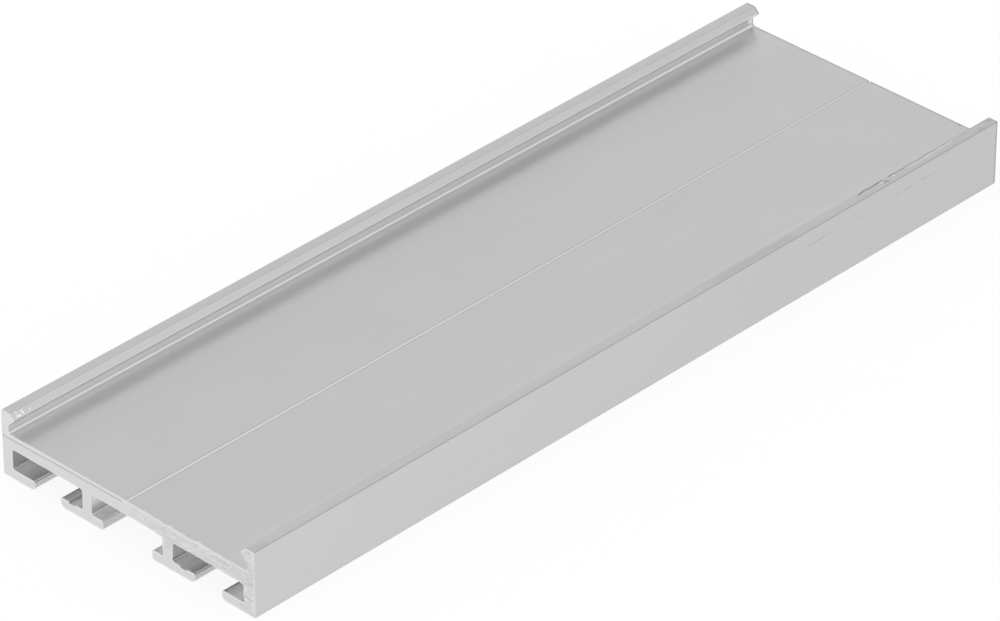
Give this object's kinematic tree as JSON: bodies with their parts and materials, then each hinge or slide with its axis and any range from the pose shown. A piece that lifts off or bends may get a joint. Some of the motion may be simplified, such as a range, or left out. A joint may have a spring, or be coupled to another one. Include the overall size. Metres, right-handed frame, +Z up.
{
  "type": "aluminium extrusion profile",
  "caption": "Flat aluminium extrusion sawn to length, with a shallow tray between lipped side walls on top and open T-slots along the underside.",
  "frame": {"origin": "centre of the footprint, on the plane of the feet that the bar lies on", "axes": "+Y along the bar, +X across its width, +Z up out of the tray"},
  "size_m": [0.065, 0.2, 0.014],
  "materials": {
    "profile": "satin"
  },
  "bodies": {
    "root": {"profile": "profile"}
  },
  "joints": []
}
